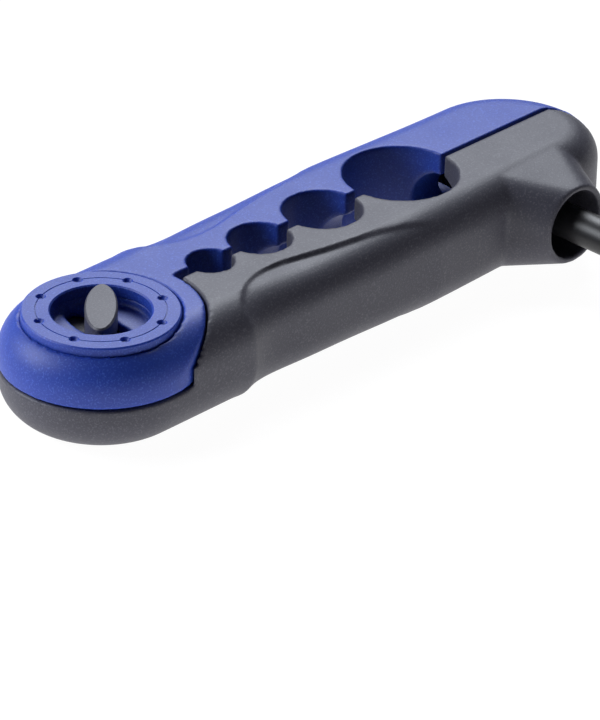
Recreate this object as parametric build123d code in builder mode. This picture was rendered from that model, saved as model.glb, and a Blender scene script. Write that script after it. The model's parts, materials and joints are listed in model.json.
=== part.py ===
"""Fishing line winder: two hinged arms that clamp a rod, with a spindle for the line spool.

Millimetres.  The origin is on the axis of the largest rod hole, at the back face on which the
winder lies.  +X runs from the hinge to the crown end, +Y is the blue arm's side, -Y is the side
of the grey arm with its spindle boss, and +Z is the front face.
"""
import math
import os

from build123d import *

os.makedirs("parts", exist_ok=True)

# ---------------------------------------------------------------- driving dimensions
# Body outline, seen from the front
body_thickness = 23.0
arm_width = 39.2
end_width = 37.8
hinge_diameter = 42.0
hinge_to_tip = 139.7
tip_offset = 2.6
side_swell = 0.6
edge_round = 7.4
disc_edge_round = 9.2
neck_start = 19.0
bulge_start = 22.0
bulge_end = 30.5
neck_sections = 7

# Rod holes, from the largest to the smallest: distance from the hinge, and radius
hole_reach = [87.4, 63.6, 45.1, 30.8]
hole_radius = [12.4, 8.5, 6.75, 5.0]
slit_width = 2.0
far_slit_width = 0.75
channel_radius = 6.4

# Grip panels along the outer edges of both arms.  They sink in softly behind the hinge and run
# out towards the far end: distance from the hinge, how far the panel lies below the body at the
# side and at the faces, and its rounding between the two.
grip_sections = [
    (14.0, -0.6, -0.6, 9.4),
    (24.0, 0.1, 0.1, 9.0),
    (31.0, 0.4, 0.55, 8.0),
    (38.0, 0.3, 0.85, 7.4),
    (46.0, 0.16, 1.0, 7.0),
    (57.0, 0.2, 0.88, 7.0),
    (68.0, 0.18, 0.62, 7.0),
    (79.0, 0.0, 0.3, 7.0),
    (90.0, -0.35, -0.15, 7.0),
]
# Inner edge of the panel: distance from the hinge, and from the middle line
grip_edge = [(27.0, 13.2), (33.5, 10.3), (51.8, 12.3), (64.7, 14.3), (78.0, 17.6)]
grip_first_reach = 21.5
grip_last_reach = 90.0

# Hinge
seam_height = 11.5
seam_gap = 0.3
shoulder_gap = 0.45
hub_radius = 10.3
hub_rise = 5.4
running_clearance = 0.05
web_clearance = 0.2
web_thickness = 2.1

# Dial rings on both faces
ring_outer_radius = 16.25
back_ring_outer_radius = 14.0
ring_inner_radius = 10.3
ring_thickness = 2.4
ring_groove = 0.3
ring_bevel = 0.3
front_ring_proud = 0.25
dimple_count = 8
dimple_radius = 1.1
dimple_depth = 0.7
dimple_taper = 35.0
ring_line_width = 0.3
ring_line_depth = 0.2

# Key that holds the two arms together
key_length = 19.2
key_width = 6.7
key_angle = 45.0
key_proud = 1.0
key_edge = 0.35
key_neck_radius = 3.2
key_neck_depth = 8.5
key_slot_margin = 0.4

# Screw, washer and cover on the back
screw_radius = 2.0
screw_length = 10.0
screw_head_radius = 3.6
screw_head_height = 2.4
screw_drive_radius = 1.3
screw_drive_depth = 1.4
washer_radius = 4.5
washer_thickness = 0.6
cover_wall = 1.4
cover_dish_depth = 1.9
cover_space = 0.3
cover_rim = 1.0
seat_clearance = 0.03

# Far end: blue hood that wraps round the grey arm's end, and the crown collar
hood_before_tip = 3.0
hood_gap = 0.4
hood_side_y = -9.0
hood_corner_radius = 5.0
collar_radius = 7.75
collar_bore_radius = 6.1
collar_length = 8.0
collar_proud = 1.3
collar_edge = 0.7
collar_gap = 0.4
guide_gap = 0.4

# Lip that closes the slit between the largest hole and the hood
lip_bottom = 18.7
lip_thickness = 1.6
lip_overlap = 1.4
lip_clearance = 0.2
lip_end_gap = 1.5

# Spindle boss on the grey arm
spindle_reach = 113.5
boss_stand_out = 7.7
boss_end_radius = 8.75
boss_root_depth = 5.6
boss_root_length = 30.0
boss_root_shift = 1.6
boss_root_height = 22.2
boss_root_round = 6.5
boss_corner_flat = 0.05
boss_bore_radius = 7.6
boss_bore_floor = 10.6
bush_length = 6.0
bush_bevel = 0.6
web_bore_radius = 4.4
exit_bore_radius = 6.5

# Spindle
shaft_radius = 3.8
tip_radius = 3.95
tip_length = 18.0
tip_core_radius = 2.8
tip_rib_count = 9
tip_groove_depth = 0.35
tip_groove_width = 0.8
tip_proud = 1.4
spool_space_length = 122.5
shaft_edge = 0.5

# Spool cone, washers and wing knob on the spindle's outer end
cone_nose_radius = 4.9
cone_radius = 9.5
cone_taper_length = 7.0
cone_body_length = 13.0
cone_edge = 0.8
drag_washer_radius = 8.6
thrust_washer_radius = 7.6
washer_ring_thickness = 0.8
washer_ring_gap = 0.1
knob_hub_radius = 9.2
knob_nose_radius = 8.0
knob_nose_length = 3.0
knob_hub_length = 14.0
knob_edge = 0.9
wing_span = 42.0
wing_root_length = 12.4
wing_tip_length = 10.6
wing_root_thickness = 10.0
wing_tip_thickness = 7.0
wing_round = 2.2
wing_scoop_depth = 1.5
wing_scoop_radius = 9.0
insert_radius = 5.4
insert_length = 9.0
nut_radius = 4.2
nut_thickness = 2.4
tip_end_wall = 1.4
cap_radius = 6.0
cap_thickness = 1.6
cap_crown = 0.8
cap_clearance = 0.3

# ---------------------------------------------------------------- places worked out
hinge_x = -hole_reach[0]
hole_x = [hinge_x + reach for reach in hole_reach]
tip_x = hinge_x + hinge_to_tip
tip_y = -tip_offset
neck_x = hinge_x + neck_start
arm_x = hinge_x + bulge_end
spindle_x = hinge_x + spindle_reach
mid_z = body_thickness / 2
arm_half = arm_width / 2
hinge_radius = hinge_diameter / 2
slit_half = slit_width / 2
far_edge_y = far_slit_width - slit_half
blue_end_radius = end_width / 2 + tip_offset
grey_end_radius = end_width / 2 - tip_offset
hood_reach = hinge_to_tip - hood_before_tip
boss_end_y = -(arm_half + boss_stand_out)
boss_root_y = -(arm_half - boss_root_depth)
boss_bore_depth_start = arm_half - boss_bore_floor
collar_start_x = tip_x + collar_proud - collar_length
guide_start_x = spindle_x + exit_bore_radius + guide_gap
shoulder_radius = hinge_radius + shoulder_gap
upper_z = seam_height + seam_gap
hub_top_z = seam_height + hub_rise
web_bottom_z = hub_top_z + web_clearance
web_top_z = web_bottom_z + web_thickness
body_length = hinge_to_tip + hinge_radius
beyond = 2 * body_length

hinge_axis = Plane(origin=(hinge_x, 0, 0), x_dir=(1, 0, 0), z_dir=(0, 0, 1))
spindle_axis = Axis((spindle_x, 0, mid_z), (0, -1, 0))
spindle_section = Plane(origin=(spindle_x, 0, mid_z), x_dir=(0, -1, 0), z_dir=(-1, 0, 0))


def hinge_level(height):
    """A sketch plane square to the hinge axis, at a height above the back face."""
    return hinge_axis.offset(height)


def spindle_level(distance):
    """A sketch plane square to the spindle's axis, facing -Y, at a distance along -Y."""
    return Plane(origin=(spindle_x, -distance, mid_z), x_dir=(1, 0, 0), z_dir=(0, -1, 0))


def crown_level(x):
    """A sketch plane square to the long channel, facing +X."""
    return Plane(origin=(x, 0, mid_z), x_dir=(0, 1, 0), z_dir=(1, 0, 0))


# ---------------------------------------------------------------- body form before the split
def side_line(side, end_radius):
    """One side of the arms with its half of the far end: side is 1 for blue and -1 for grey."""
    end_x = tip_x - end_radius
    widest_x = (arm_x + end_x) / 2
    with BuildLine() as line:
        Line((neck_x, side * arm_half), (arm_x, side * arm_half))
        Spline(
            (arm_x, side * arm_half),
            (widest_x, side * (arm_half + side_swell)),
            (end_x, side * end_width / 2),
            tangents=[(1, 0), (1, 0)],
        )
        RadiusArc((end_x, side * end_width / 2), (tip_x, tip_y), side * end_radius)
    return line.line


def body_half(reach):
    """Half the body's width at a distance from the hinge, through the step behind the hinge."""
    if reach < bulge_end:
        share = min(max((reach - bulge_start) / (bulge_end - bulge_start), 0), 1)
        return hinge_radius + (arm_half - hinge_radius) * share**2 * (3 - 2 * share)
    half_length = (hinge_to_tip - blue_end_radius - bulge_end) / 2
    share = min((reach - bulge_end) / half_length, 1)
    return arm_half + side_swell * share**2 * (3 - 2 * share)


def edge_at(reach):
    """The rounding of the body's edges, which is larger on the disc than on the arms."""
    share = min(max((reach - neck_start) / (bulge_end - neck_start), 0), 1)
    return disc_edge_round + (edge_round - disc_edge_round) * share**2 * (3 - 2 * share)


# The hinge end is rounded more than the arms, so each is made alone and a neck joins the two
with BuildPart() as arms_form:
    with BuildSketch(Plane.XY):
        with BuildLine():
            add(side_line(1, blue_end_radius))
            add(side_line(-1, grey_end_radius))
            Line((neck_x, arm_half), (neck_x, -arm_half))
        make_face()
    extrude(amount=body_thickness)
    faces = arms_form.faces().sort_by(Axis.Z)
    rims = (faces[0].edges() + faces[-1].edges()).filter_by_position(Axis.X, neck_x + 1, beyond)
    fillet(rims, radius=edge_round)
    split(bisect_by=Plane.YZ.offset(arm_x), keep=Keep.TOP)

with BuildPart() as disc_form:
    with BuildSketch(Plane.XY):
        with Locations((hinge_x, 0)):
            Circle(hinge_radius)
            Rectangle(2 * neck_start, hinge_diameter, align=(Align.MIN, Align.CENTER))
    extrude(amount=body_thickness)
    faces = disc_form.faces().sort_by(Axis.Z)
    rims = (faces[0].edges() + faces[-1].edges()).filter_by_position(Axis.X, -beyond, neck_x)
    fillet(rims, radius=disc_edge_round)
    split(bisect_by=Plane.YZ.offset(neck_x), keep=Keep.BOTTOM)

with BuildPart() as neck_form:
    for station in range(neck_sections):
        reach = neck_start + (bulge_end - neck_start) * station / (neck_sections - 1)
        with BuildSketch(crown_level(hinge_x + reach)):
            RectangleRounded(2 * body_half(reach), body_thickness, edge_at(reach))
    loft()

# Form that the grip panels follow, drawn in from the body by the depths above
with BuildPart() as grip_form:
    for reach, side_depth, face_depth, corner in grip_sections:
        with BuildSketch(crown_level(hinge_x + reach)):
            RectangleRounded(2 * (body_half(reach) - side_depth), body_thickness - 2 * face_depth, corner)
    loft()

# The strips outside the panels' inner edges, less that form: what the panels take away
with BuildPart() as grip_cut:
    with BuildSketch(Plane.XY):
        start = (hinge_x + grip_first_reach, hinge_diameter)
        end = (hinge_x + grip_last_reach, hinge_diameter)
        first = (start[0], hinge_radius + edge_round)
        last = (end[0], hinge_radius)
        with BuildLine():
            Line(start, first)
            Spline(first, *[(hinge_x + reach, y) for reach, y in grip_edge], last)
            Line(last, end)
            Line(end, start)
        make_face()
        mirror(about=Plane.XZ)
    extrude(amount=body_thickness)
    add(grip_form.part, mode=Mode.SUBTRACT)

with BuildPart() as body:
    add(arms_form.part)
    add(disc_form.part)
    add(neck_form.part)
    add(grip_cut.part, mode=Mode.SUBTRACT)
    for x, radius in zip(hole_x, hole_radius):
        with BuildSketch(Plane.XY):
            with Locations((x, 0)):
                Circle(radius)
        extrude(amount=body_thickness, mode=Mode.SUBTRACT)
    # Long channel from the third hole, with a closer guide between the spindle and the far end
    with BuildSketch(crown_level(hole_x[2])):
        Circle(channel_radius)
    extrude(amount=guide_start_x - hole_x[2], mode=Mode.SUBTRACT)
    with BuildSketch(crown_level(guide_start_x)):
        Circle(collar_bore_radius)
    extrude(amount=beyond, mode=Mode.SUBTRACT)


# ---------------------------------------------------------------- what belongs to which arm
def behind_hinge():
    """The half plane behind the hinge axis, where only the discs are."""
    with BuildSketch() as plan:
        with Locations((hinge_x, 0)):
            Rectangle(beyond, 2 * beyond, align=(Align.MAX, Align.CENTER))
    return plan.sketch


def hood_plan(reach, side_y):
    """What lies beyond an arc about the hinge and above a side line."""
    with BuildSketch() as plan:
        with Locations((hinge_x, side_y)):
            Rectangle(beyond, beyond, align=(Align.MIN, Align.MIN))
        with Locations((hinge_x, 0)):
            Circle(reach, mode=Mode.SUBTRACT)
    return plan.sketch


def disc_plan(neck_side):
    """A hinge disc with its neck to the arm, on the +Y side (1) or the -Y side (-1)."""
    with BuildSketch() as plan:
        with Locations((hinge_x, 0)):
            Circle(shoulder_radius + shoulder_gap)
        with Locations((hinge_x, neck_side * slit_half)):
            keep = Align.MIN if neck_side > 0 else Align.MAX
            Rectangle(beyond, beyond, align=(Align.MIN, keep), mode=Mode.INTERSECT)
        with Locations((hinge_x, 0)):
            Circle(hinge_radius)
        add(behind_hinge())
    return plan.sketch


def arm_plan(arm_side):
    """An arm's plan outside the shoulder line, with the hood added (1) or cleared (-1)."""
    edge_y = arm_side * slit_half
    far_y = far_edge_y if arm_side > 0 else edge_y
    with BuildSketch() as plan:
        with Locations((hinge_x, edge_y)):
            keep = Align.MIN if arm_side > 0 else Align.MAX
            Rectangle(beyond, beyond, align=(Align.MIN, keep))
        with Locations((hinge_x, 0)):
            Circle(shoulder_radius, mode=Mode.SUBTRACT)
        # Beyond the largest hole the slit is narrower
        with Locations((hole_x[0], far_y)):
            Rectangle(beyond, beyond, align=(Align.MIN, keep))
        if arm_side > 0:
            add(hood_plan(hood_reach, hood_side_y))
            corner_reach = hood_reach
            corner_round = hood_corner_radius + hood_gap
        else:
            corner_reach = hood_reach - hood_gap
            add(hood_plan(corner_reach, hood_side_y - hood_gap), mode=Mode.SUBTRACT)
            corner_round = hood_corner_radius
        corner = (hinge_x + math.sqrt(corner_reach**2 - far_y**2), far_y)
        fillet(plan.vertices().sort_by_distance((corner[0], corner[1], 0))[0], corner_round)
    return plan.sketch


def lip_space(clearance):
    """The lip of the blue arm that closes the slit, or the groove for it in the grey arm."""
    first_x = hole_x[0] + hole_radius[0] + lip_end_gap - clearance
    last_x = hinge_x + hood_reach - hood_corner_radius - lip_end_gap + clearance
    reach_y = slit_half + lip_overlap + clearance
    with BuildPart() as lip:
        with BuildSketch(Plane.XY.offset(lip_bottom - clearance)):
            with Locations((first_x, -reach_y)):
                Rectangle(last_x - first_x, reach_y + 2 * slit_half, align=(Align.MIN, Align.MIN))
        extrude(amount=lip_thickness + 2 * clearance)
    return lip.part


with BuildPart() as blue_zone:
    with BuildSketch(Plane.XY.offset(-1)):
        add(arm_plan(1))
    extrude(amount=body_thickness + 2)
    with BuildSketch(Plane.XY.offset(upper_z)):
        add(disc_plan(1))
    extrude(amount=body_thickness)

with BuildPart() as grey_zone:
    with BuildSketch(Plane.XY.offset(-1)):
        add(arm_plan(-1))
    extrude(amount=body_thickness + 2)
    with BuildSketch(Plane.XY.offset(seam_height)):
        add(disc_plan(-1))
    extrude(amount=-body_thickness)

# ---------------------------------------------------------------- blue arm
with BuildPart() as blue_arm:
    add(body.part)
    add(blue_zone.part, mode=Mode.INTERSECT)
    add(lip_space(0))
    # Socket that turns on the grey hub, below the web
    with BuildSketch(hinge_level(0)):
        Circle(hub_radius + running_clearance)
    extrude(amount=web_bottom_z, mode=Mode.SUBTRACT)
    # Recess above the web, and the seat of the dial ring around it
    with BuildSketch(hinge_level(web_top_z)):
        Circle(ring_inner_radius)
    extrude(amount=body_thickness, mode=Mode.SUBTRACT)
    with BuildSketch(hinge_level(body_thickness + front_ring_proud - ring_thickness)):
        Circle(ring_outer_radius + ring_groove)
    extrude(amount=body_thickness, mode=Mode.SUBTRACT)
    # Slot in the web that lets the key's head through when the arms are swung wide
    with BuildSketch(hinge_level(web_bottom_z)):
        Ellipse(key_width / 2 + key_slot_margin, key_length / 2 + key_slot_margin)
    extrude(amount=web_thickness, mode=Mode.SUBTRACT)
    # Wide bore in which the arm clears the spindle while it opens
    with BuildSketch(spindle_level(slit_half)):
        Circle(exit_bore_radius)
    extrude(amount=-beyond, mode=Mode.SUBTRACT)
    # Seat of the crown collar
    with BuildSketch(crown_level(collar_start_x)):
        Circle(collar_radius + seat_clearance)
    extrude(amount=collar_length, mode=Mode.SUBTRACT)
blue_arm.part.label = "blue_arm"

# ---------------------------------------------------------------- grey arm
cover_thickness = cover_dish_depth + cover_wall
washer_seat_z = cover_thickness + cover_space + screw_head_height + washer_thickness
key_foot_z = hub_top_z - key_neck_depth

with BuildPart() as grey_arm:
    add(body.part)
    add(grey_zone.part, mode=Mode.INTERSECT)
    # Hub that carries the blue arm
    with BuildSketch(hinge_level(seam_height - ring_thickness)):
        Circle(hub_radius)
    extrude(amount=hub_rise + ring_thickness)
    # Spindle boss, from a broad root in the arm to a round mouth
    with BuildSketch(spindle_level(-boss_root_y)):
        with Locations((-boss_root_shift, 0)):
            RectangleRounded(boss_root_length, boss_root_height, boss_root_round)
    with BuildSketch(spindle_level(-boss_end_y)):
        mouth = 2 * boss_end_radius
        RectangleRounded(mouth, mouth, boss_end_radius - boss_corner_flat)
    loft()
    # Bore for the bush, and the smaller way through to the channel
    with BuildSketch(spindle_level(boss_bore_depth_start)):
        Circle(boss_bore_radius)
    extrude(amount=beyond, mode=Mode.SUBTRACT)
    with BuildSketch(spindle_level(0)):
        Circle(web_bore_radius)
    extrude(amount=boss_bore_depth_start, mode=Mode.SUBTRACT)
    # Pocket for the crown collar, open towards the blue arm
    with BuildSketch(crown_level(collar_start_x - collar_gap)):
        Circle(collar_radius + collar_gap)
    extrude(amount=beyond, mode=Mode.SUBTRACT)
    # Groove for the blue arm's lip
    add(lip_space(lip_clearance), mode=Mode.SUBTRACT)
    # Seat of the key in the hub, and of its screw and washer
    with BuildSketch(hinge_level(hub_top_z)):
        Circle(key_neck_radius + seat_clearance)
    extrude(amount=-key_neck_depth, mode=Mode.SUBTRACT)
    with BuildSketch(hinge_level(key_foot_z)):
        Circle(screw_radius + key_slot_margin)
    extrude(amount=-key_foot_z, mode=Mode.SUBTRACT)
    with BuildSketch(hinge_level(washer_seat_z)):
        Circle(washer_radius + cover_space)
    extrude(amount=-washer_seat_z, mode=Mode.SUBTRACT)
    # Seats of the cover and of the dial ring
    with BuildSketch(hinge_level(cover_thickness)):
        Circle(ring_inner_radius)
    extrude(amount=-cover_thickness, mode=Mode.SUBTRACT)
    with BuildSketch(hinge_level(ring_thickness)):
        Circle(back_ring_outer_radius + ring_groove)
    extrude(amount=-ring_thickness, mode=Mode.SUBTRACT)
grey_arm.part.label = "grey_arm"


# ---------------------------------------------------------------- dial rings
def dial_ring(face_plane, outer_radius, first_dimple):
    """A flat ring with a circle of dimples and a fine line, its face on the given plane."""
    dimple_circle_radius = (outer_radius + ring_inner_radius) / 2
    with BuildPart() as ring:
        with BuildSketch(face_plane):
            Circle(outer_radius)
            Circle(ring_inner_radius, mode=Mode.SUBTRACT)
        extrude(amount=-ring_thickness)
        face_edges = ring.faces().filter_by_position(
            Axis((hinge_x, 0, 0), face_plane.z_dir),
            ring_face_offset(face_plane) - 0.01,
            ring_face_offset(face_plane) + 0.01,
        ).edges()
        chamfer(face_edges, ring_bevel)
        with BuildSketch(face_plane):
            Circle(dimple_circle_radius + ring_line_width / 2)
            Circle(dimple_circle_radius - ring_line_width / 2, mode=Mode.SUBTRACT)
        extrude(amount=-ring_line_depth, mode=Mode.SUBTRACT)
        with BuildSketch(face_plane):
            with PolarLocations(dimple_circle_radius, dimple_count, start_angle=first_dimple):
                Circle(dimple_radius)
        extrude(amount=-dimple_depth, taper=dimple_taper, mode=Mode.SUBTRACT)
    return ring.part


def ring_face_offset(face_plane):
    """How far a ring's face lies from the back face, along its own outward direction."""
    return face_plane.origin.Z * face_plane.z_dir.Z


front_face = hinge_level(body_thickness + front_ring_proud)
back_face = Plane(origin=(hinge_x, 0, 0), x_dir=(1, 0, 0), z_dir=(0, 0, -1))

with BuildPart() as front_ring:
    add(dial_ring(front_face, ring_outer_radius, 180 / dimple_count))
front_ring.part.label = "front_ring"

with BuildPart() as back_ring:
    add(dial_ring(back_face, back_ring_outer_radius, 0))
back_ring.part.label = "back_ring"

# ---------------------------------------------------------------- hinge key, screw and cover
key_top_z = body_thickness + key_proud
key_head_z = web_top_z + web_clearance

with BuildPart() as hinge_key:
    with BuildSketch(hinge_level(key_foot_z)):
        Circle(key_neck_radius)
    extrude(amount=key_head_z - key_foot_z)
    with BuildSketch(hinge_level(key_head_z)):
        Ellipse(key_length / 2, key_width / 2, rotation=key_angle)
    extrude(amount=key_top_z - key_head_z)
    chamfer(hinge_key.faces().sort_by(Axis.Z)[-1].edges(), key_edge)
    with BuildSketch(hinge_level(key_foot_z)):
        Circle(screw_radius)
    extrude(amount=screw_length, mode=Mode.SUBTRACT)
hinge_key.part.label = "hinge_key"

head_z = cover_thickness + cover_space
under_head_z = head_z + screw_head_height

with BuildPart() as key_screw:
    with BuildSketch(hinge_level(head_z)):
        Circle(screw_head_radius)
    extrude(amount=screw_head_height)
    with BuildSketch(hinge_level(under_head_z)):
        Circle(screw_radius - seat_clearance)
    extrude(amount=screw_length)
    with BuildSketch(hinge_level(head_z)):
        RegularPolygon(screw_drive_radius, 6)
    extrude(amount=screw_drive_depth, mode=Mode.SUBTRACT)
key_screw.part.label = "key_screw"

with BuildPart() as screw_washer:
    with BuildSketch(hinge_level(under_head_z)):
        Circle(washer_radius)
        Circle(screw_radius + seat_clearance, mode=Mode.SUBTRACT)
    extrude(amount=washer_thickness)
screw_washer.part.label = "screw_washer"

with BuildPart() as back_cover:
    with BuildSketch(hinge_level(0)):
        Circle(ring_inner_radius - seat_clearance)
    extrude(amount=cover_thickness)
    dish_radius = ring_inner_radius - cover_rim
    dish_sphere = (dish_radius**2 + cover_dish_depth**2) / (2 * cover_dish_depth)
    with Locations((hinge_x, 0, cover_dish_depth - dish_sphere)):
        Sphere(dish_sphere, mode=Mode.SUBTRACT)
back_cover.part.label = "back_cover"

# ---------------------------------------------------------------- crown collar
with BuildPart() as crown_collar:
    with BuildSketch(crown_level(collar_start_x)):
        Circle(collar_radius)
        Circle(collar_bore_radius, mode=Mode.SUBTRACT)
    extrude(amount=collar_length)
    chamfer(crown_collar.faces().sort_by(Axis.X)[-1].edges(), collar_edge)
crown_collar.part.label = "crown_collar"


# ---------------------------------------------------------------- spindle
def turned(outline):
    """A solid turned about the spindle's axis, from (distance along -Y, radius) points."""
    with BuildPart() as piece:
        with BuildSketch(spindle_section):
            with BuildLine():
                Polyline(*outline, close=True)
            make_face()
        revolve(axis=spindle_axis)
    return piece.part


bush_start = boss_bore_depth_start
bush_bore_radius = tip_radius + running_clearance
shaft_bore_radius = shaft_radius + running_clearance

with BuildPart() as spindle_bush:
    outer = boss_bore_radius - seat_clearance
    bush_end = bush_start + bush_length
    outline = [
        (bush_start, bush_bore_radius),
        (bush_start, outer),
        (bush_end, outer),
        (bush_end, bush_bore_radius + bush_bevel),
        (bush_end - bush_bevel, bush_bore_radius),
    ]
    add(turned(outline))
spindle_bush.part.label = "spindle_bush"

tip_start = -(arm_half + tip_proud)
tip_end = tip_start + tip_length
cone_start = tip_start + spool_space_length
cone_end = cone_start + cone_taper_length + cone_body_length
inner_washer_start = cone_end + washer_ring_gap
outer_washer_start = inner_washer_start + washer_ring_thickness + washer_ring_gap
knob_start = outer_washer_start + washer_ring_thickness + washer_ring_gap
knob_end = knob_start + knob_hub_length
insert_end = knob_start + insert_length
nut_start = insert_end + web_clearance
nut_end = nut_start + nut_thickness
core_radius = tip_core_radius - seat_clearance

with BuildPart() as spindle_shaft:
    outline = [
        (tip_start + tip_end_wall, 0),
        (tip_start + tip_end_wall, core_radius),
        (tip_end, core_radius),
        (tip_end, shaft_radius),
        (nut_start, shaft_radius),
        (nut_start, core_radius),
        (nut_end, core_radius),
        (nut_end, 0),
    ]
    add(turned(outline))
spindle_shaft.part.label = "spindle_shaft"

with BuildPart() as spindle_tip:
    outline = [
        (tip_start, 0),
        (tip_start, tip_radius - shaft_edge),
        (tip_start + shaft_edge, tip_radius),
        (tip_end, tip_radius),
        (tip_end, tip_core_radius),
        (tip_start + tip_end_wall, tip_core_radius),
        (tip_start + tip_end_wall, 0),
    ]
    add(turned(outline))
    tip_pitch = (tip_length - 2 * tip_groove_width) / tip_rib_count
    for rib in range(tip_rib_count):
        with BuildSketch(spindle_level(tip_start + tip_groove_width + (rib + 0.5) * tip_pitch)):
            Circle(tip_radius)
            Circle(tip_radius - tip_groove_depth, mode=Mode.SUBTRACT)
        extrude(amount=tip_groove_width, mode=Mode.SUBTRACT)
spindle_tip.part.label = "spindle_tip"

with BuildPart() as lock_nut:
    with BuildSketch(spindle_level(nut_start)):
        RegularPolygon(nut_radius, 6)
        Circle(tip_core_radius, mode=Mode.SUBTRACT)
    extrude(amount=nut_thickness)
lock_nut.part.label = "lock_nut"

# ---------------------------------------------------------------- spool cone and washers
with BuildPart() as spool_cone:
    taper_end = cone_start + cone_taper_length
    outline = [
        (cone_start, shaft_bore_radius),
        (cone_start, cone_nose_radius - cone_edge),
        (cone_start + cone_edge, cone_nose_radius),
        (taper_end, cone_radius),
        (cone_end - cone_edge, cone_radius),
        (cone_end, cone_radius - cone_edge),
        (cone_end, shaft_bore_radius),
    ]
    add(turned(outline))
spool_cone.part.label = "spool_cone"


def flat_washer(start, outer_radius):
    """A washer on the shaft, from a distance along -Y."""
    outline = [
        (start, shaft_bore_radius),
        (start, outer_radius),
        (start + washer_ring_thickness, outer_radius),
        (start + washer_ring_thickness, shaft_bore_radius),
    ]
    return turned(outline)


with BuildPart() as drag_washer:
    add(flat_washer(inner_washer_start, drag_washer_radius))
drag_washer.part.label = "drag_washer"

with BuildPart() as thrust_washer:
    add(flat_washer(outer_washer_start, thrust_washer_radius))
thrust_washer.part.label = "thrust_washer"

# ---------------------------------------------------------------- wing knob
cap_start = knob_end - cap_thickness
wing_middle = knob_start + knob_hub_length / 2

with BuildPart() as wing_knob:
    outline = [
        (knob_start, 0),
        (knob_start, knob_nose_radius - knob_edge),
        (knob_start + knob_edge, knob_nose_radius),
        (knob_start + knob_nose_length, knob_hub_radius),
        (knob_end - knob_edge, knob_hub_radius),
        (knob_end, knob_hub_radius - knob_edge),
        (knob_end, 0),
    ]
    add(turned(outline))
    for side in (1, -1):
        root = Plane(origin=(spindle_x, -wing_middle, mid_z), x_dir=(0, -1, 0), z_dir=(side, 0, 0))
        with BuildSketch(root):
            RectangleRounded(wing_root_length, wing_root_thickness, wing_round)
        with BuildSketch(root.offset(wing_span / 2)):
            RectangleRounded(wing_tip_length, wing_tip_thickness, wing_round)
        loft()
        # Scoops for the finger and thumb, on both faces of the wing
        for face in (1, -1):
            scoop_x = spindle_x + side * (knob_hub_radius + wing_span / 2) / 2
            scoop_z = mid_z + face * (wing_tip_thickness / 2 + wing_scoop_radius - wing_scoop_depth / 2)
            with Locations((scoop_x, -wing_middle, scoop_z)):
                Sphere(wing_scoop_radius, mode=Mode.SUBTRACT)
    with BuildSketch(spindle_level(knob_start)):
        Circle(insert_radius + seat_clearance)
    extrude(amount=insert_length, mode=Mode.SUBTRACT)
    with BuildSketch(spindle_level(insert_end)):
        Circle(nut_radius + cap_clearance)
    extrude(amount=knob_hub_length, mode=Mode.SUBTRACT)
    with BuildSketch(spindle_level(cap_start)):
        Circle(cap_radius + seat_clearance)
    extrude(amount=knob_hub_length, mode=Mode.SUBTRACT)
wing_knob.part.label = "wing_knob"

with BuildPart() as knob_insert:
    outline = [
        (knob_start, shaft_bore_radius),
        (knob_start, insert_radius),
        (insert_end, insert_radius),
        (insert_end, shaft_bore_radius),
    ]
    add(turned(outline))
knob_insert.part.label = "knob_insert"

with BuildPart() as knob_cap:
    outline = [
        (cap_start, 0),
        (cap_start, cap_radius),
        (knob_end, cap_radius),
        (knob_end + cap_crown, cap_radius - cap_crown),
        (knob_end + cap_crown, 0),
    ]
    add(turned(outline))
knob_cap.part.label = "knob_cap"

# ---------------------------------------------------------------- files
pieces = [
    grey_arm, back_ring, back_cover, hinge_key, key_screw, screw_washer, spindle_bush,
    blue_arm, front_ring, crown_collar,
    spindle_shaft, spindle_tip, lock_nut,
    spool_cone, drag_washer, thrust_washer,
    wing_knob, knob_insert, knob_cap,
]
for piece in pieces:
    export_step(piece.part, f"parts/{piece.part.label}.step")
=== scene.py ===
# %% [markdown]
# # A fishing line winder
#
# This lesson dresses a line winder that lies on its back on a white table. Two plastic arms, one
# blue and one grey, turn on a round hinge and close on a rod in one of four holes. A black spindle
# goes through a boss on the grey arm and carries a cone and a wing knob.
#
# The solids come first, already at their real size and place, in metres. The lesson adds the
# camera, the light, the finishes and the small details that a mould leaves on real plastic.

# %% Load the solids
import json
import math

import bmesh
import bpy
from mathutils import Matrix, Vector

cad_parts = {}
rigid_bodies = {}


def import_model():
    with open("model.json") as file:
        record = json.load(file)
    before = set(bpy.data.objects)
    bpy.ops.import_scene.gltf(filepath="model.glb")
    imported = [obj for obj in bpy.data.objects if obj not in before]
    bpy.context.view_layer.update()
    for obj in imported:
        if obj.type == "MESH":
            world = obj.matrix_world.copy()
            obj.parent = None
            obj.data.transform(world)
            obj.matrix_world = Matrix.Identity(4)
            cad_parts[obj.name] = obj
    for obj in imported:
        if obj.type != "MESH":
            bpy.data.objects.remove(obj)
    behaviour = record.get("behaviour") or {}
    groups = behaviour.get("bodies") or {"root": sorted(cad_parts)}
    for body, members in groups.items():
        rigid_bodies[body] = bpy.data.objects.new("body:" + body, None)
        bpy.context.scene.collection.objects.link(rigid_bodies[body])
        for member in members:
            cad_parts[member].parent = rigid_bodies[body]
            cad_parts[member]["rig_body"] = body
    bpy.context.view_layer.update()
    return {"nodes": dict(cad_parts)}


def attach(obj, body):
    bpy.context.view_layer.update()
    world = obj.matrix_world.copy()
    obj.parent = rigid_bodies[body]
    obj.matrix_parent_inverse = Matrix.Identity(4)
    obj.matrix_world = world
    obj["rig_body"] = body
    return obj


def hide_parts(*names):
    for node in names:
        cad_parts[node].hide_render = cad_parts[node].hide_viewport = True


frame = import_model()
solids = frame["nodes"]
print("solids:", sorted(solids))
mm_per_m = 1000.0

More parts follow.
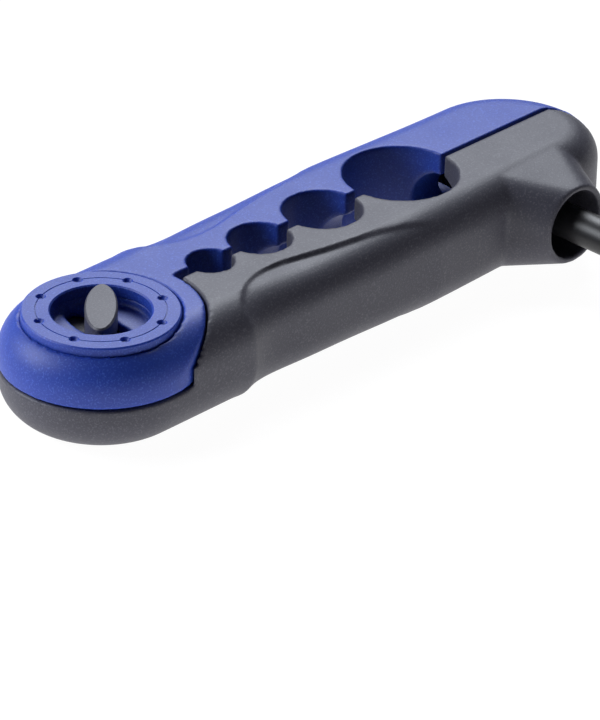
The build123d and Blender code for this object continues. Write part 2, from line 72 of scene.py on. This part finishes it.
# %% [markdown]
# ## The camera
#
# The photograph was taken from the hinge end, with the winder seen at about 29 degrees from above.
# Its far end is hardly smaller than its near end, so the camera stands a metre away with a long
# lens. A fit of the four holes and the dial gave this place and these turns. The small roll matters:
# without it every edge of the body leans by a degree.

# %% Place the camera
lens_data = bpy.data.cameras.new("catalogue_camera")
lens_data.lens = 250.0
lens_data.sensor_width = 36.0
lens_data.clip_start = 0.05
lens_data.clip_end = 20.0
camera = bpy.data.objects.new("catalogue_camera", lens_data)
camera.location = (-0.69331, -0.63635, 0.50769)
camera.rotation_euler = [math.radians(turn) for turn in (60.5687, -1.1005, -45.5911)]
bpy.context.scene.collection.objects.link(camera)
bpy.context.scene.camera = camera
print("camera distance in m:", round(camera.location.length, 3))

# %% [markdown]
# ## The table and the white background
#
# Catalogue pictures are taken on a white sweep that is lit until it vanishes. Light Path tells apart
# the rays that come straight from the camera, from a mirror or through a clear body: those see almost
# pure white, and the little that is left of the real surface keeps a soft shadow under the winder.
# All other rays meet a pale matt table with a weak glow of its own. That glow stands for the light
# that a real sweep sends up to the underside, and it has no part in the white of the background.

# %% Make the white table
table_colour = (0.82, 0.82, 0.84, 1.0)
bounce_colour = (1.0, 0.98, 0.98, 1.0)
background_white = (1.0, 1.0, 1.0, 1.0)
background_level = 1.0
table_half_side = 3.0


def vanishing_white(shadow_share, bounce_level):
    """A pale matt surface that the camera sees as white, with a share of its real shading left."""
    material = bpy.data.materials.new("white_sweep")
    material.use_nodes = True
    nodes = material.node_tree.nodes
    links = material.node_tree.links
    nodes.clear()
    output = nodes.new("ShaderNodeOutputMaterial")
    mix = nodes.new("ShaderNodeMixShader")
    matt = nodes.new("ShaderNodeBsdfDiffuse")
    matt.inputs["Color"].default_value = table_colour
    bounce = nodes.new("ShaderNodeEmission")
    bounce.inputs["Color"].default_value = bounce_colour
    bounce.inputs["Strength"].default_value = bounce_level
    lit = nodes.new("ShaderNodeAddShader")
    glow = nodes.new("ShaderNodeEmission")
    glow.inputs["Color"].default_value = background_white
    glow.inputs["Strength"].default_value = background_level
    path = nodes.new("ShaderNodeLightPath")
    seen = path.outputs["Is Camera Ray"]
    for kind_of_ray in ("Is Glossy Ray", "Is Transmission Ray"):
        either = nodes.new("ShaderNodeMath")
        either.operation = "MAXIMUM"
        links.new(seen, either.inputs[0])
        links.new(path.outputs[kind_of_ray], either.inputs[1])
        seen = either.outputs["Value"]
    share = nodes.new("ShaderNodeMath")
    share.operation = "MULTIPLY"
    share.inputs[1].default_value = 1.0 - shadow_share
    links.new(seen, share.inputs[0])
    links.new(share.outputs["Value"], mix.inputs["Fac"])
    links.new(matt.outputs["BSDF"], lit.inputs[0])
    links.new(bounce.outputs["Emission"], lit.inputs[1])
    links.new(lit.outputs["Shader"], mix.inputs[1])
    links.new(glow.outputs["Emission"], mix.inputs[2])
    links.new(mix.outputs["Shader"], output.inputs["Surface"])
    return material


table_mesh = bpy.data.meshes.new("table")
shape = bmesh.new()
bmesh.ops.create_grid(shape, x_segments=1, y_segments=1, size=table_half_side)
shape.to_mesh(table_mesh)
shape.free()
table_top = bpy.data.objects.new("table", table_mesh)
table_mesh.materials.append(vanishing_white(shadow_share=0.12, bounce_level=0.75))
bpy.context.scene.collection.objects.link(table_top)

# %% [markdown]
# ## The light
#
# The picture has one broad soft light above and behind the winder. It makes the flat front faces
# pale and lays a dull sheen on their texture, and it leaves the long sides facing the camera dark.
# The glow of the table lights the lower half of the sides from below. A weaker light from the left,
# lower than the first, falls on the round hinge end, and a dim room fills the rest. Both lamps are a
# little blue, like the pale sheen on the grey plastic in the photograph.

# %% Set the lamps
lamp_colour = (0.9, 0.94, 1.0)
room_colour = (0.95, 0.97, 1.0, 1.0)
room_level = 0.02


def soft_lamp(name, place, target, size, watts):
    """A rectangular area lamp at a place, turned to a target."""
    lamp = bpy.data.lights.new(name, "AREA")
    lamp.shape = "RECTANGLE"
    lamp.size, lamp.size_y = size
    lamp.energy = watts
    lamp.color = lamp_colour
    holder = bpy.data.objects.new(name, lamp)
    holder.location = place
    direction = Vector(target) - Vector(place)
    holder.rotation_euler = direction.to_track_quat("-Z", "Y").to_euler()
    bpy.context.scene.collection.objects.link(holder)


soft_lamp("back_light", (0.5, 0.5, 0.75), (0.0, 0.0, 0.0), (0.7, 0.5), 10.5)
soft_lamp("left_light", (-0.55, 0.5, 0.45), (-0.08, 0.0, 0.0), (0.5, 0.4), 6.0)

room = bpy.data.worlds.new("white_room")
room.use_nodes = True
room.node_tree.nodes["Background"].inputs["Color"].default_value = room_colour
room.node_tree.nodes["Background"].inputs["Strength"].default_value = room_level
bpy.context.scene.world = room
bpy.context.scene.view_settings.view_transform = "Standard"

# %% [markdown]
# ## Moulded plastic
#
# The arms are moulded in a spark-eroded mould, which gives the skin a fine dull grain about 0.4 mm
# across. One function makes every material of the winder, so that the grain keeps its real size on
# all of them. A fine noise on Object coordinates feeds the bump and the paler flecks, and a coarse one
# the roughness.

# %% Make the plastics
cloud_scale = 90.0
fleck_from = 0.52
fleck_full = 0.75
roughness_spread = 0.06
scattered_share = 0.35
scattered_reach = (0.15, 0.3, 1.0)


def moulded_plastic(
    name, colour, fleck, roughness, grain_mm, grain_height_mm, gloss=0.5, glow_mm=0.0, metallic=0.0
):
    """A moulded plastic: fine grain, slight flecks of colour, and light that sinks a little way in."""
    material = bpy.data.materials.new(name)
    material.use_nodes = True
    nodes = material.node_tree.nodes
    links = material.node_tree.links
    skin = nodes["Principled BSDF"]
    place = nodes.new("ShaderNodeTexCoord")

    grain = nodes.new("ShaderNodeTexNoise")
    grain.inputs["Scale"].default_value = mm_per_m / grain_mm
    grain.inputs["Detail"].default_value = 2.0
    grain.inputs["Roughness"].default_value = 0.6
    links.new(place.outputs["Object"], grain.inputs["Vector"])

    cloud = nodes.new("ShaderNodeTexNoise")
    cloud.inputs["Scale"].default_value = cloud_scale
    cloud.inputs["Detail"].default_value = 3.0
    links.new(place.outputs["Object"], cloud.inputs["Vector"])

    tint = nodes.new("ShaderNodeMix")
    tint.data_type = "RGBA"
    tint.inputs[6].default_value = (*colour, 1.0)
    tint.inputs[7].default_value = (*fleck, 1.0)
    speck = nodes.new("ShaderNodeMapRange")
    speck.inputs["From Min"].default_value = fleck_from
    speck.inputs["From Max"].default_value = fleck_full
    links.new(grain.outputs["Fac"], speck.inputs["Value"])
    links.new(speck.outputs["Result"], tint.inputs["Factor"])
    links.new(tint.outputs[2], skin.inputs["Base Color"])

    dull = nodes.new("ShaderNodeMapRange")
    dull.inputs["To Min"].default_value = roughness - roughness_spread
    dull.inputs["To Max"].default_value = roughness + roughness_spread
    links.new(cloud.outputs["Fac"], dull.inputs["Value"])
    links.new(dull.outputs["Result"], skin.inputs["Roughness"])

    relief = nodes.new("ShaderNodeBump")
    relief.inputs["Strength"].default_value = 1.0
    relief.inputs["Distance"].default_value = grain_height_mm / mm_per_m
    links.new(grain.outputs["Fac"], relief.inputs["Height"])
    links.new(relief.outputs["Normal"], skin.inputs["Normal"])

    skin.inputs["Specular IOR Level"].default_value = gloss
    skin.inputs["Metallic"].default_value = metallic
    if glow_mm:
        skin.inputs["Subsurface Weight"].default_value = scattered_share
        skin.inputs["Subsurface Radius"].default_value = scattered_reach
        skin.inputs["Subsurface Scale"].default_value = glow_mm / mm_per_m
    return material


blue_plastic = moulded_plastic(
    "blue_plastic", colour=(0.014, 0.05, 0.36), fleck=(0.05, 0.12, 0.56), roughness=0.5,
    grain_mm=0.4, grain_height_mm=0.045, glow_mm=1.6,
)
grey_plastic = moulded_plastic(
    "grey_plastic", colour=(0.062, 0.061, 0.082), fleck=(0.13, 0.128, 0.155), roughness=0.5,
    grain_mm=0.4, grain_height_mm=0.045,
)
black_plastic = moulded_plastic(
    "black_plastic", colour=(0.012, 0.012, 0.014), fleck=(0.018, 0.018, 0.02), roughness=0.42,
    grain_mm=0.5, grain_height_mm=0.01,
)

# %% [markdown]
# ## The metals and the rubber
#
# The screw, the washers and the nut are plated steel, the knob's threaded insert is turned brass, and
# the drag washer is rubber. Their skin is finer than the mould's, so the same function makes them with
# a low grain.

# %% Make the metals and the rubber
steel = moulded_plastic(
    "zinc_steel", colour=(0.55, 0.55, 0.54), fleck=(0.62, 0.62, 0.61), roughness=0.35,
    grain_mm=0.3, grain_height_mm=0.004, metallic=1.0,
)
brass = moulded_plastic(
    "turned_brass", colour=(0.72, 0.5, 0.2), fleck=(0.78, 0.56, 0.25), roughness=0.3,
    grain_mm=0.3, grain_height_mm=0.003, metallic=1.0,
)
rubber = moulded_plastic(
    "black_rubber", colour=(0.01, 0.01, 0.01), fleck=(0.014, 0.014, 0.014), roughness=0.75,
    grain_mm=0.6, grain_height_mm=0.01, gloss=0.3,
)

# %% [markdown]
# ## Dressing the solids
#
# Each solid gets a copy that stands in for it and rides on the same body. The two arms are moulded
# with soft edges, so they become an even net of small faces that is smoothed a few times. The other
# pieces stay crisp where two faces meet at an angle.

# %% Dress the solids
merge_distance = 2e-6
sharp_from_degrees = 25
net_mm = 0.45
melting_passes = 3


def bare_copy(name):
    """A merged copy of a solid that stands for it and rides on its body."""
    source = solids[name]
    mesh = source.data.copy()
    mesh.name = name + "_skin"
    kept_normals = mesh.attributes.get("custom_normal")
    if kept_normals:
        mesh.attributes.remove(kept_normals)
    piece = bpy.data.objects.new(name + "_skin", mesh)
    bpy.context.scene.collection.objects.link(piece)
    work = bmesh.new()
    work.from_mesh(mesh)
    bmesh.ops.remove_doubles(work, verts=work.verts, dist=merge_distance)
    work.to_mesh(mesh)
    work.free()
    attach(piece, source["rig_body"])
    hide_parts(name)
    return piece


def crisp(piece, degrees):
    """Makes a piece smooth over its curves, sharp where two faces meet at more than some degrees."""
    piece.data.shade_smooth()
    piece.data.set_sharp_from_angle(angle=math.radians(degrees))


def soften(piece, face_mm, passes):
    """Turns a piece into an even net of small faces and melts its sharp edges a little."""
    net = piece.modifiers.new("even_net", "REMESH")
    net.mode = "VOXEL"
    net.voxel_size = face_mm / mm_per_m
    depsgraph = bpy.context.evaluated_depsgraph_get()
    melted = bpy.data.meshes.new_from_object(piece.evaluated_get(depsgraph))
    piece.modifiers.remove(net)
    work = bmesh.new()
    work.from_mesh(melted)
    for _ in range(passes):
        bmesh.ops.smooth_vert(
            work, verts=work.verts, factor=0.5, use_axis_x=True, use_axis_y=True, use_axis_z=True
        )
    work.to_mesh(melted)
    work.free()
    melted.name = piece.data.name
    piece.data = melted
    melted.shade_smooth()
    print(piece.name, "faces:", len(melted.polygons))


finishes = {
    "blue_arm": blue_plastic, "front_ring": blue_plastic, "crown_collar": blue_plastic,
    "grey_arm": grey_plastic, "back_ring": grey_plastic, "back_cover": grey_plastic,
    "hinge_key": grey_plastic,
    "spindle_bush": black_plastic, "spindle_shaft": black_plastic, "spindle_tip": black_plastic,
    "spool_cone": black_plastic, "wing_knob": black_plastic, "knob_cap": black_plastic,
    "key_screw": steel, "screw_washer": steel, "lock_nut": steel, "thrust_washer": steel,
    "knob_insert": brass, "drag_washer": rubber,
}
for node_name, finish in finishes.items():
    skin = bare_copy(node_name)
    if node_name in ("blue_arm", "grey_arm"):
        soften(skin, net_mm, melting_passes)
    else:
        crisp(skin, sharp_from_degrees)
    skin.data.materials.clear()
    skin.data.materials.append(finish)
